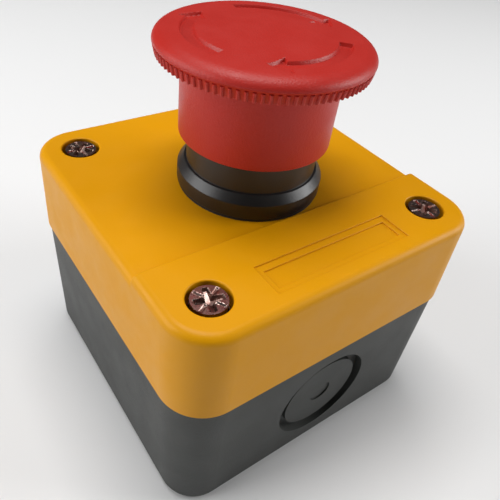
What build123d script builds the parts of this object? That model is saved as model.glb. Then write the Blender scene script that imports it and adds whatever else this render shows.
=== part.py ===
from build123d import *
import math
import os

os.makedirs("parts", exist_ok=True)

# Emergency stop station with a 40 mm turn-to-release head. Millimetres.
# z = 0 is the back that stands on the wall, +Z points at the button, and the operator's axis is x = y = 0.

# Enclosure
cover_width = 68.0
cover_corner = 8.57
cover_top_round = 1.7
cover_wall = 2.6
cover_rear_level = 49.72
front_raise = 1.13
front_raise_edge = -15.3
base_inset = 0.4
base_height = 31.25
base_draft = 1.74
base_foot_round = 2.0
base_floor = 2.6
cavity_width = 60.4
cavity_corner = 4.5
joint_gap = 0.3

# Fixings of the enclosure
screw_x = 25.55
screw_y = 25.57
screw_head_radius = 3.5
screw_shank_radius = 2.0
screw_head_depth = 0.35
wall_slot_spacing_x = 34.0
wall_slot_spacing_y = 54.0
wall_slot_width = 4.3
wall_slot_length = 8.4
knockout_height = 16.2
knockout_groove_radius = 11.0
knockout_disc_radius = 9.1

# Operator
panel_hole_radius = 11.15
barrel_radius = 10.9
flange_radius = 14.6
guide_radius = 12.9
stem_radius = 3.5
cap_bottom = 61.0
cap_rim_bottom = 76.0
cap_top = 80.6
cap_radius = 19.85
rib_count = 96
travel = 5.0
running_gap = 0.08
fit_gap = 0.05

# Contact blocks, one on each side of x = 0
block_centre = 5.7
block_half_length = 19.0
block_bottom = 2.8
block_shoulder = 24.0
block_top = 30.0
terminal_y = 14.0
bridge_level = 18.2

base_width = cover_width - 2 * base_inset
base_corner = cover_corner - base_inset
draft_angle = math.radians(base_draft)
STANDING = (Align.CENTER, Align.CENTER, Align.MIN)


def block(x, y, size_x, size_y, low, high, mode=Mode.ADD):
    """Upright rectangular block centred on x, y between two heights."""
    with Locations((x, y, low)):
        Box(size_x, size_y, high - low, align=STANDING, mode=mode)


def post(radius, low, high, mode=Mode.ADD):
    """Round column at each cover screw."""
    with Locations((0, 0, low)):
        with GridLocations(2 * screw_x, 2 * screw_y, 2, 2):
            Cylinder(radius, high - low, align=STANDING, mode=mode)


def corner_webs(low, high):
    """Diagonal web from each screw column to the corner of the box."""
    web_length = 6.0
    web_thickness = 2.0
    reach = web_length / 2 / math.sqrt(2)
    for side_x in (-1, 1):
        for side_y in (-1, 1):
            spot = (side_x * (screw_x + reach), side_y * (screw_y + reach), low)
            with Locations(Location(spot, (0, 0, 45 * side_x * side_y))):
                Box(web_length, web_thickness, high - low, align=STANDING)


def coil(x, radius, wire, low, high, turns):
    """Round-wire compression spring standing between two heights at x, y = 0."""
    height = high - low - 2 * wire
    with BuildPart() as spring:
        with BuildLine(Plane((x, 0, low + wire))):
            Helix(pitch=height / turns, height=height, radius=radius)
        with BuildSketch(Plane((x + radius, 0, low + wire), x_dir=(1, 0, 0), z_dir=(0, 1, 0))):
            Circle(wire)
        sweep(is_frenet=True)
    return spring.part


# Base: drafted dark grey box with the screw columns, clips for the contact blocks and cable knockouts.
post_radius = 3.9
post_web_top = 24.0
pilot_bottom = 16.0
tongue_gap = 0.25
tongue_width = cover_width - 2 * (cover_wall + tongue_gap)
tongue_corner = cover_corner - cover_wall - tongue_gap
tongue_top = 33.0
knockout_y = base_width / 2 - math.tan(draft_angle) * (base_height - knockout_height)
knockout_recess = 0.65
knockout_groove_depth = 1.8
knockout_mark_radius = 2.6
knockout_mark_depth = 0.3
clip_thickness = 1.6
clip_width = 5.0
clip_top = 7.4
clip_barb_bottom = 5.3
clip_inner_y = block_half_length + 1.6
cut_margin = 1.0
clip_barb_reach = 1.2

with BuildPart() as base_box:
    with BuildSketch(Plane(origin=(0, 0, base_height), z_dir=(0, 0, -1))):
        RectangleRounded(base_width, base_width, base_corner)
    extrude(amount=base_height, taper=base_draft)
    fillet(base_box.faces().sort_by(Axis.Z)[0].edges(), base_foot_round)
    with BuildSketch(Plane.XY.offset(base_floor)):
        RectangleRounded(cavity_width, cavity_width, cavity_corner)
    extrude(amount=base_height - base_floor, mode=Mode.SUBTRACT)
    # Tongue that stands up inside the cover and carries the seal
    with BuildSketch(Plane.XY.offset(base_height)):
        RectangleRounded(tongue_width, tongue_width, tongue_corner)
        RectangleRounded(cavity_width, cavity_width, cavity_corner, mode=Mode.SUBTRACT)
    extrude(amount=tongue_top - base_height)
    post(post_radius, base_floor, base_height)
    corner_webs(base_floor, post_web_top)
    post(screw_shank_radius + running_gap, pilot_bottom, base_height, mode=Mode.SUBTRACT)
    with BuildSketch():
        with GridLocations(wall_slot_spacing_x, wall_slot_spacing_y, 2, 2):
            SlotOverall(wall_slot_length, wall_slot_width)
    extrude(amount=base_floor, mode=Mode.SUBTRACT)
    for side in (-1, 1):
        wall_centre = (0, side * knockout_y, knockout_height)
        wall_normal = (0, side * math.cos(draft_angle), -math.sin(draft_angle))
        wall_plane = Plane(origin=wall_centre, x_dir=(1, 0, 0), z_dir=wall_normal)
        with BuildSketch(wall_plane.offset(cut_margin)):
            Circle(knockout_groove_radius)
            Circle(knockout_disc_radius, mode=Mode.SUBTRACT)
        extrude(amount=-(cut_margin + knockout_groove_depth), mode=Mode.SUBTRACT)
        with BuildSketch(wall_plane.offset(cut_margin)):
            Circle(knockout_disc_radius)
        extrude(amount=-(cut_margin + knockout_recess), mode=Mode.SUBTRACT)
        with BuildSketch(wall_plane.offset(-knockout_recess)):
            Circle(knockout_mark_radius)
        extrude(amount=-knockout_mark_depth, mode=Mode.SUBTRACT)
    # Two snap clips per contact block, hooked over the block's feet
    for side_x in (-1, 1):
        for side_y in (-1, 1):
            clip_y = clip_inner_y + clip_thickness / 2
            block(side_x * block_centre, side_y * clip_y, clip_width, clip_thickness, base_floor, clip_top)
            barb_y = clip_inner_y - clip_barb_reach / 2
            block(side_x * block_centre, side_y * barb_y, clip_width, clip_barb_reach,
                  clip_barb_bottom, clip_top)
base_box.part.label = "base_box"
export_step(base_box.part, "parts/base_box.step")

# Cover: yellow shell. Its front strip stands higher and carries the two-step label field.
cover_inner_width = cover_width - 2 * cover_wall
cover_inner_corner = cover_corner - cover_wall
cover_top_wall = 2.8
cover_ceiling = cover_rear_level - cover_top_wall
seal_ledge_bottom = 34.25
seal_ledge_top = 35.75
pad_radius = 6.2
pad_bottom = 43.5
counterbore_radius = 3.85
screw_hole_radius = 2.3
screw_seal_thickness = 0.9
screw_head_height = 2.3
panel_key_width = 3.2
panel_key_reach = 12.9
label_outer = (30.8, 6.9)
label_outer_y = -26.75
label_inner = (28.6, 4.3)
label_inner_y = -26.85
label_step = 0.3
edge_round = 0.15
rim_round = 0.3
step_round = 0.4
front_level = cover_rear_level + front_raise


def surface_level(side_y):
    """Height of the cover's face beside the front or the rear screws."""
    return front_level if side_y < 0 else cover_rear_level


def screw_underside(side_y):
    """Height of the underside of a cover screw's head."""
    return surface_level(side_y) - screw_head_depth - screw_head_height


with BuildPart() as front_strip:
    with BuildSketch(Plane.XY.offset(base_height)):
        RectangleRounded(cover_width, cover_width, cover_corner)
        with Locations((0, front_raise_edge)):
            Rectangle(cover_width, cover_width, align=(Align.CENTER, Align.MIN), mode=Mode.SUBTRACT)
    extrude(amount=front_level - base_height)
    strip_edges = front_strip.faces().sort_by(Axis.Z)[-1].edges().sort_by(Axis.Y)
    fillet(strip_edges[:-1], cover_top_round)
    top_face = front_strip.faces().sort_by(Axis.Z)[-1]
    fillet(top_face.edges().sort_by(Axis.Y)[-1], step_round)

with BuildPart() as cover:
    with BuildSketch(Plane.XY.offset(base_height)):
        RectangleRounded(cover_width, cover_width, cover_corner)
    extrude(amount=cover_rear_level - base_height)
    fillet(cover.faces().sort_by(Axis.Z)[-1].edges(), cover_top_round)
    add(front_strip.part)
    with BuildSketch(Plane.XY.offset(base_height)):
        RectangleRounded(cover_inner_width, cover_inner_width, cover_inner_corner)
    extrude(amount=cover_ceiling - base_height, mode=Mode.SUBTRACT)
    with BuildSketch(Plane.XY.offset(seal_ledge_bottom)):
        RectangleRounded(cover_width - cover_wall, cover_width - cover_wall, cover_corner)
        RectangleRounded(cavity_width, cavity_width, cavity_corner, mode=Mode.SUBTRACT)
    extrude(amount=seal_ledge_top - seal_ledge_bottom)
    post(post_radius, base_height + joint_gap, cover_ceiling)
    post(pad_radius, pad_bottom, cover_ceiling)
    corner_webs(seal_ledge_top, cover_ceiling)
    post(screw_hole_radius, base_height, front_level, mode=Mode.SUBTRACT)
    for side_y in (-1, 1):
        seat = screw_underside(side_y) - screw_seal_thickness
        with BuildSketch(Plane.XY.offset(seat)):
            with Locations((-screw_x, side_y * screw_y), (screw_x, side_y * screw_y)):
                Circle(counterbore_radius)
        extrude(amount=front_level - seat, mode=Mode.SUBTRACT)
        fillet(cover.edges(Select.LAST).group_by(Axis.Z)[-1], rim_round)
    # Operator hole with its key notch
    with BuildSketch(Plane.XY.offset(cover_ceiling)):
        Circle(panel_hole_radius)
        Rectangle(panel_key_width, panel_key_reach, align=(Align.CENTER, Align.MIN))
    extrude(amount=cover_rear_level - cover_ceiling, mode=Mode.SUBTRACT)
    for (size_x, size_y), centre_y, depth in (
        (label_outer, label_outer_y, label_step),
        (label_inner, label_inner_y, 2 * label_step),
    ):
        block(0, centre_y, size_x, size_y, front_level - depth, front_level, mode=Mode.SUBTRACT)
        rim = cover.edges(Select.LAST).group_by(Axis.Z)[-1]
        fillet(rim, edge_round)
cover.part.label = "cover"
export_step(cover.part, "parts/cover.step")

# Cover seal: rubber cord lying on the base's tongue under the cover's ledge.
seal_inner_width = cavity_width + 0.2
with BuildPart() as cover_seal:
    with BuildSketch(Plane.XY.offset(tongue_top)):
        RectangleRounded(tongue_width, tongue_width, tongue_corner)
        RectangleRounded(seal_inner_width, seal_inner_width, cavity_corner, mode=Mode.SUBTRACT)
    extrude(amount=seal_ledge_bottom - tongue_top)
cover_seal.part.label = "cover_seal"
export_step(cover_seal.part, "parts/cover_seal.step")

# Cover screws: pan heads with a cross recess and four shallow corner marks, in one node.
screw_bottom = 18.0
recess_length = 4.2
recess_width = 0.9
recess_depth = 1.3
mark_length = 4.6
mark_width = 0.35
mark_depth = 0.25
head_round = 0.6

with BuildPart() as cover_screws:
    for side_y in (-1, 1):
        underside = screw_underside(side_y)
        head_top = underside + screw_head_height
        for side_x in (-1, 1):
            spot = (side_x * screw_x, side_y * screw_y)
            with BuildSketch(Plane.XY.offset(screw_bottom)):
                with Locations(spot):
                    Circle(screw_shank_radius)
            extrude(amount=underside - screw_bottom)
            with BuildSketch(Plane.XY.offset(underside)):
                with Locations(spot):
                    Circle(screw_head_radius)
            extrude(amount=screw_head_height)
            head_rim = cover_screws.edges(Select.LAST).sort_by(Axis.Z)[-1]
            fillet(head_rim, head_round)
            with BuildSketch(Plane.XY.offset(head_top - recess_depth)):
                with Locations(spot):
                    Rectangle(recess_length, recess_width)
                    Rectangle(recess_width, recess_length)
            extrude(amount=recess_depth, mode=Mode.SUBTRACT)
            with BuildSketch(Plane.XY.offset(head_top - mark_depth)):
                with Locations(spot):
                    Rectangle(mark_length, mark_width, rotation=45)
                    Rectangle(mark_length, mark_width, rotation=-45)
            extrude(amount=mark_depth, mode=Mode.SUBTRACT)
cover_screws.part.label = "cover_screws"
export_step(cover_screws.part, "parts/cover_screws.step")

# Screw seals: rubber rings under the four heads.
screw_seal_inset = 0.1
with BuildPart() as screw_seals:
    for side_y in (-1, 1):
        underside = screw_underside(side_y)
        with BuildSketch(Plane.XY.offset(underside - screw_seal_thickness)):
            with Locations((-screw_x, side_y * screw_y), (screw_x, side_y * screw_y)):
                Circle(screw_head_radius - screw_seal_inset)
                Circle(screw_shank_radius + fit_gap, mode=Mode.SUBTRACT)
        extrude(amount=screw_seal_thickness)
screw_seals.part.label = "screw_seals"
export_step(screw_seals.part, "parts/screw_seals.step")

# Bezel: black flange on the cover, guide tube inside the head's skirt and threaded barrel under the cover.
gasket_thickness = 0.68
gasket_top = cover_rear_level + gasket_thickness
flange_edge = 53.4
flange_top = 55.0
shoulder_ledge = 0.4
guide_top = 66.5
guide_bore = 10.6
web_top = 52.0
web_bottom = 49.0
barrel_bottom = 35.5
barrel_bore = 9.3
stem_bore = stem_radius + running_gap
seal_groove_radius = 4.45
seal_groove_bottom = 50.1
seal_groove_top = 51.0
guide_slot_width = 2.6
guide_slot_reach = 10.2
key_gap = 0.2
key_root = barrel_radius - 0.5
key_reach = panel_key_reach - 2 * key_gap

with BuildPart() as bezel:
    with BuildSketch(Plane.XZ):
        with BuildLine():
            Polyline(
                (stem_bore, web_bottom),
                (barrel_bore, web_bottom),
                (barrel_bore, barrel_bottom),
                (barrel_radius, barrel_bottom),
                (barrel_radius, gasket_top),
                (flange_radius, gasket_top),
                (flange_radius, flange_edge),
                (guide_radius + shoulder_ledge, flange_top),
                (guide_radius, flange_top),
                (guide_radius, guide_top),
                (guide_bore, guide_top),
                (guide_bore, web_top),
                (stem_bore, web_top),
                (stem_bore, seal_groove_top),
                (seal_groove_radius, seal_groove_top),
                (seal_groove_radius, seal_groove_bottom),
                (stem_bore, seal_groove_bottom),
                close=True,
            )
        make_face()
    revolve(axis=Axis.Z)
    with BuildSketch(Plane.XY.offset(cover_ceiling)):
        with Locations((0, key_root)):
            Rectangle(panel_key_width - key_gap, key_reach - key_root, align=(Align.CENTER, Align.MIN))
    extrude(amount=gasket_top - cover_ceiling)
    block(0, 0, 2 * guide_slot_reach, guide_slot_width, barrel_bottom, web_bottom, mode=Mode.SUBTRACT)
bezel.part.label = "bezel"
export_step(bezel.part, "parts/bezel.step")

# Bezel gasket: flat rubber ring between the flange and the cover.
gasket_inset = 0.3
with BuildPart() as bezel_gasket:
    with BuildSketch(Plane.XY.offset(cover_rear_level)):
        Circle(flange_radius - gasket_inset)
        Circle(barrel_radius + fit_gap, mode=Mode.SUBTRACT)
        with Locations((0, key_root)):
            Rectangle(panel_key_width, key_reach + fit_gap - key_root, align=(Align.CENTER, Align.MIN),
                      mode=Mode.SUBTRACT)
    extrude(amount=gasket_top - cover_rear_level)
bezel_gasket.part.label = "bezel_gasket"
export_step(bezel_gasket.part, "parts/bezel_gasket.step")

# Stem seal: rubber ring in the groove of the bezel's web.
stem_seal_wire = 0.4
stem_seal_inner = 3.59
seal_groove_middle = (seal_groove_bottom + seal_groove_top) / 2
with BuildPart() as stem_seal:
    with BuildSketch(Plane.XZ):
        with Locations((stem_seal_inner + stem_seal_wire, seal_groove_middle)):
            Circle(stem_seal_wire)
    revolve(axis=Axis.Z)
stem_seal.part.label = "stem_seal"
export_step(stem_seal.part, "parts/stem_seal.step")

# Lock washer and ring nut: clamp the bezel from under the cover.
washer_high = cover_ceiling - fit_gap
washer_thickness = 0.8
washer_low = washer_high - washer_thickness
washer_radius = 14.2
washer_notch = (1.6, 1.4)
washer_notch_count = 12
nut_notch = (2.4, 3.2)
nut_notch_count = 6
nut_low = 42.3
nut_radius = 14.5
with BuildPart() as lock_washer:
    with BuildSketch(Plane.XY.offset(washer_low)):
        Circle(washer_radius)
        Circle(barrel_radius + fit_gap, mode=Mode.SUBTRACT)
        with PolarLocations(barrel_radius + washer_notch[0] / 4, washer_notch_count):
            Rectangle(*washer_notch, mode=Mode.SUBTRACT)
    extrude(amount=washer_high - washer_low)
lock_washer.part.label = "lock_washer"
export_step(lock_washer.part, "parts/lock_washer.step")

with BuildPart() as ring_nut:
    with BuildSketch(Plane.XY.offset(nut_low)):
        Circle(nut_radius)
        Circle(barrel_radius + fit_gap, mode=Mode.SUBTRACT)
        with PolarLocations(nut_radius, nut_notch_count):
            Rectangle(*nut_notch, mode=Mode.SUBTRACT)
    extrude(amount=washer_low - fit_gap - nut_low)
ring_nut.part.label = "ring_nut"
export_step(ring_nut.part, "parts/ring_nut.step")

# Mushroom cap: red head with small grip ribs, a skirt over the guide tube and three engraved arrows.
skirt_bottom_radius = 14.7
skirt_top_radius = 14.9
skirt_bore = 13.4
skirt_edge = 0.3
rim_bottom_radius = 19.2
rim_widest = 77.6
rim_bulge = (19.14, 79.39)
rim_shoulder = (17.4, 80.15)
dome_rise = cap_top - rim_shoulder[1]
dome_radius = (rim_shoulder[0] ** 2 + dome_rise ** 2) / (2 * dome_rise)
dome_half_angle = math.degrees(math.asin(rim_shoulder[0] / dome_radius))
cap_ceiling = 77.3
boss_radius = 4.8
boss_bottom = 67.0
stem_top = 76.0
pin_radius = 1.0
pin_level = 70.5
rib_depth = 0.25
rib_flank = 0.3
rib_bottom = cap_rim_bottom + 0.5
rib_top = 77.9
arrow_floor = 79.85
arrow_band = (12.8, 15.0)
arrow_head = (11.3, 16.6)
arrow_tip_radius = 13.95
arrow_tail = 199.5
arrow_sweep = 72.0
arrow_head_sweep = 14.0


def polar(radius, degrees):
    """Point at a radius and an angle about the operator's axis."""
    return (radius * math.cos(math.radians(degrees)), radius * math.sin(math.radians(degrees)))


def arrow(tail):
    """Curved arrow that runs clockwise from its tail."""
    neck = tail - arrow_sweep
    with BuildSketch() as outline:
        with BuildLine():
            CenterArc((0, 0), arrow_band[0], tail, -arrow_sweep)
            CenterArc((0, 0), arrow_band[1], tail, -arrow_sweep)
            Line(polar(arrow_band[0], tail), polar(arrow_band[1], tail))
            Polyline(
                polar(arrow_band[0], neck),
                polar(arrow_head[0], neck),
                polar(arrow_tip_radius, neck - arrow_head_sweep),
                polar(arrow_head[1], neck),
                polar(arrow_band[1], neck),
            )
        make_face()
    return outline.sketch


with BuildPart() as mushroom_cap:
    with BuildSketch(Plane.XZ):
        with BuildLine():
            Polyline(
                (0, cap_top),
                (0, cap_ceiling),
                (skirt_bore, cap_ceiling),
                (skirt_bore, cap_bottom),
                (skirt_bottom_radius - skirt_edge, cap_bottom),
                (skirt_bottom_radius, cap_bottom + skirt_edge),
                (skirt_top_radius, cap_rim_bottom),
                (rim_bottom_radius, cap_rim_bottom),
                (cap_radius, rim_widest),
            )
            ThreePointArc((cap_radius, rim_widest), rim_bulge, rim_shoulder)
            CenterArc((0, cap_top - dome_radius), dome_radius, 90 - dome_half_angle, dome_half_angle)
        make_face()
    revolve(axis=Axis.Z)
    with BuildSketch(Plane.XY.offset(boss_bottom)):
        Circle(boss_radius)
    extrude(amount=cap_ceiling - boss_bottom)
    # Grip ribs: a toothed ring cut away between the ribs
    valley = cap_radius - rib_depth
    with BuildSketch(Plane.XY.offset(rib_bottom)):
        Circle(cap_radius + cut_margin)
        with BuildLine():
            rib_outline = []
            for index in range(rib_count):
                start = 360 * index / rib_count
                step = 360 / rib_count
                rib_outline.append(polar(valley, start))
                rib_outline.append(polar(cap_radius, start + rib_flank * step))
                rib_outline.append(polar(cap_radius, start + (1 - rib_flank) * step))
            Polyline(*rib_outline, close=True)
        make_face(mode=Mode.SUBTRACT)
    extrude(amount=rib_top - rib_bottom, mode=Mode.SUBTRACT)
    with BuildSketch(Plane.XY.offset(arrow_floor)):
        for turn in range(3):
            add(arrow(arrow_tail + 120 * turn))
    extrude(amount=cap_top - arrow_floor, mode=Mode.SUBTRACT)
    with BuildSketch(Plane.XY.offset(boss_bottom)):
        Circle(stem_radius + fit_gap)
    extrude(amount=stem_top + joint_gap - boss_bottom, mode=Mode.SUBTRACT)
    with BuildSketch(Plane.YZ.offset(-boss_radius)):
        with Locations((0, pin_level)):
            Circle(pin_radius + fit_gap)
    extrude(amount=2 * boss_radius, mode=Mode.SUBTRACT)
mushroom_cap.part.label = "mushroom_cap"
export_step(mushroom_cap.part, "parts/mushroom_cap.step")

# Stem: turned shaft with the latch groove, the snap-ring groove and the pin hole.
stem_foot = 41.0
latch_level = web_bottom - 0.5
latch_groove_width = 1.2
latch_groove_low = latch_level + travel - latch_groove_width / 2
latch_groove = (latch_groove_low, latch_groove_low + latch_groove_width)
ring_groove = (43.8, 44.9)
groove_radius = 3.0
foot_chamfer = 0.4
with BuildPart() as stem:
    with BuildSketch(Plane.XY.offset(stem_foot)):
        Circle(stem_radius)
    extrude(amount=stem_top - stem_foot)
    for low, high in (latch_groove, ring_groove):
        with BuildSketch(Plane.XY.offset(low)):
            Circle(stem_radius + cut_margin)
            Circle(groove_radius, mode=Mode.SUBTRACT)
        extrude(amount=high - low, mode=Mode.SUBTRACT)
    with BuildSketch(Plane.YZ.offset(-stem_radius)):
        with Locations((0, pin_level)):
            Circle(pin_radius + fit_gap)
    extrude(amount=2 * stem_radius, mode=Mode.SUBTRACT)
    chamfer(stem.faces().sort_by(Axis.Z)[0].edges(), foot_chamfer)
stem.part.label = "stem"
export_step(stem.part, "parts/stem.step")

# Cap pin: cross pin that locks the cap to the stem.
pin_half_length = boss_radius - 0.2
with BuildPart() as cap_pin:
    with BuildSketch(Plane.YZ.offset(-pin_half_length)):
        with Locations((0, pin_level)):
            Circle(pin_radius)
    extrude(amount=2 * pin_half_length)
cap_pin.part.label = "cap_pin"
export_step(cap_pin.part, "parts/cap_pin.step")

# Return spring: coil around the stem that lifts the head and turns it back.
spring_radius = 6.6
spring_wire = 0.6
spring_turns = 8
spring_end_gap = 0.1
with BuildPart() as return_spring:
    add(coil(0, spring_radius, spring_wire, web_top + spring_end_gap,
             cap_ceiling - spring_end_gap, spring_turns))
return_spring.part.label = "return_spring"
export_step(return_spring.part, "parts/return_spring.step")

# Latch spring: hairpin wire whose legs close into the stem's latch groove when the head is down.
latch_wire = 0.4
latch_leg_x = 4.3
latch_open_end = -6.5
latch_bend_y = 3.9
with BuildPart() as latch_spring:
    with BuildLine(Plane.XY.offset(latch_level)):
        Line((-latch_leg_x, latch_open_end), (-latch_leg_x, latch_bend_y))
        CenterArc((0, latch_bend_y), latch_leg_x, 180, -180)
        Line((latch_leg_x, latch_bend_y), (latch_leg_x, latch_open_end))
    with BuildSketch(Plane((-latch_leg_x, latch_open_end, latch_level), z_dir=(0, 1, 0))):
        Circle(latch_wire)
    sweep()
latch_spring.part.label = "latch_spring"
export_step(latch_spring.part, "parts/latch_spring.step")

# Pusher: keyed cup under the stem that slides in the barrel and presses both contact plungers.
pusher_radius = 8.9
pusher_low = 39.0
pusher_high = 42.0
hub_radius = 6.0
hub_top = 46.5
foot_low = 36.3
foot_plan = (4.6, 5.8)
bore_end = stem_foot - 0.5
ring_seat = (43.75, 44.95)
snap_ring_levels = (43.95, 44.75)
snap_ring_radius = 4.45
snap_ring_split = 1.6
with BuildPart() as pusher:
    with BuildSketch(Plane.XY.offset(pusher_low)):
        Circle(pusher_radius)
        Rectangle(2 * (guide_slot_reach - joint_gap), guide_slot_width - 2 * joint_gap)
    extrude(amount=pusher_high - pusher_low)
    with BuildSketch(Plane.XY.offset(pusher_high)):
        Circle(hub_radius)
    extrude(amount=hub_top - pusher_high)
    for side_x in (-1, 1):
        block(side_x * block_centre, 0, *foot_plan, foot_low, pusher_low)
    with BuildSketch(Plane.XY.offset(bore_end)):
        Circle(stem_bore)
    extrude(amount=hub_top - bore_end, mode=Mode.SUBTRACT)
    with BuildSketch(Plane.XY.offset(ring_seat[0])):
        Circle(snap_ring_radius + running_gap)
    extrude(amount=ring_seat[1] - ring_seat[0], mode=Mode.SUBTRACT)
pusher.part.label = "pusher"
export_step(pusher.part, "parts/pusher.step")

# Snap ring: split ring that holds the stem's foot in the pusher and lets it turn.
with BuildPart() as snap_ring:
    with BuildSketch(Plane.XY.offset(snap_ring_levels[0])):
        Circle(snap_ring_radius)
        Circle(groove_radius + running_gap, mode=Mode.SUBTRACT)
        with Locations((0, -snap_ring_radius)):
            Rectangle(snap_ring_split, 2 * snap_ring_split, mode=Mode.SUBTRACT)
    extrude(amount=snap_ring_levels[1] - snap_ring_levels[0])
snap_ring.part.label = "snap_ring"
export_step(snap_ring.part, "parts/snap_ring.step")

# Contact blocks: the normally closed one at -X, the normally open one at +X, both clipped to the base floor.
housing_inner = 0.6
housing_outer = 9.35
side_plate = (9.4, 10.6)
tower_half_length = 10.5
chamber = (2.0, 9.4)
chamber_half_length = 9.0
chamber_low = 5.0
chamber_high = 28.0
pocket_low = 15.0
pocket_width = 7.0
strip_width = 4.6
strip_thickness = 0.8
strip_low = 19.6
strip_end = 17.2
tip_start = 5.0
closing_tip_low = 11.8
riser_start = 8.0
plunger_size = (4.4, 5.4)
plunger_low = 17.0
plunger_high = 36.0
collar_length = 7.4
collar_levels = (26.6, 27.8)
bridge_size = (3.0, 14.4, 0.8)
button_y = 6.1
button_radius = 1.1
button_height = 0.4
clamp_size = 5.6
clamp_levels = (20.5, 21.4)
terminal_head = (21.45, 23.3)
terminal_head_radius = 2.7
terminal_shank_radius = 1.45
terminal_shank_low = 15.8
foot_size = (6.0, 1.3)
foot_high = 5.0
slot_gap = 0.1
plunger_gap = 0.3
contact_spring_radius = 1.9
contact_spring_wire = 0.35
contact_spring_turns = 6
screw_slot = (0.8, 0.9)


def block_silhouette():
    """Side outline of a contact block: two terminal shoulders and the plunger's tower."""
    with BuildSketch() as outline:
        with BuildLine():
            Polyline(
                (-block_half_length, block_bottom),
                (block_half_length, block_bottom),
                (block_half_length, block_shoulder),
                (tower_half_length, block_shoulder),
                (tower_half_length, block_top),
                (-tower_half_length, block_top),
                (-tower_half_length, block_shoulder),
                (-block_half_length, block_shoulder),
                close=True,
            )
        make_face()
    return outline.sketch


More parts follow.
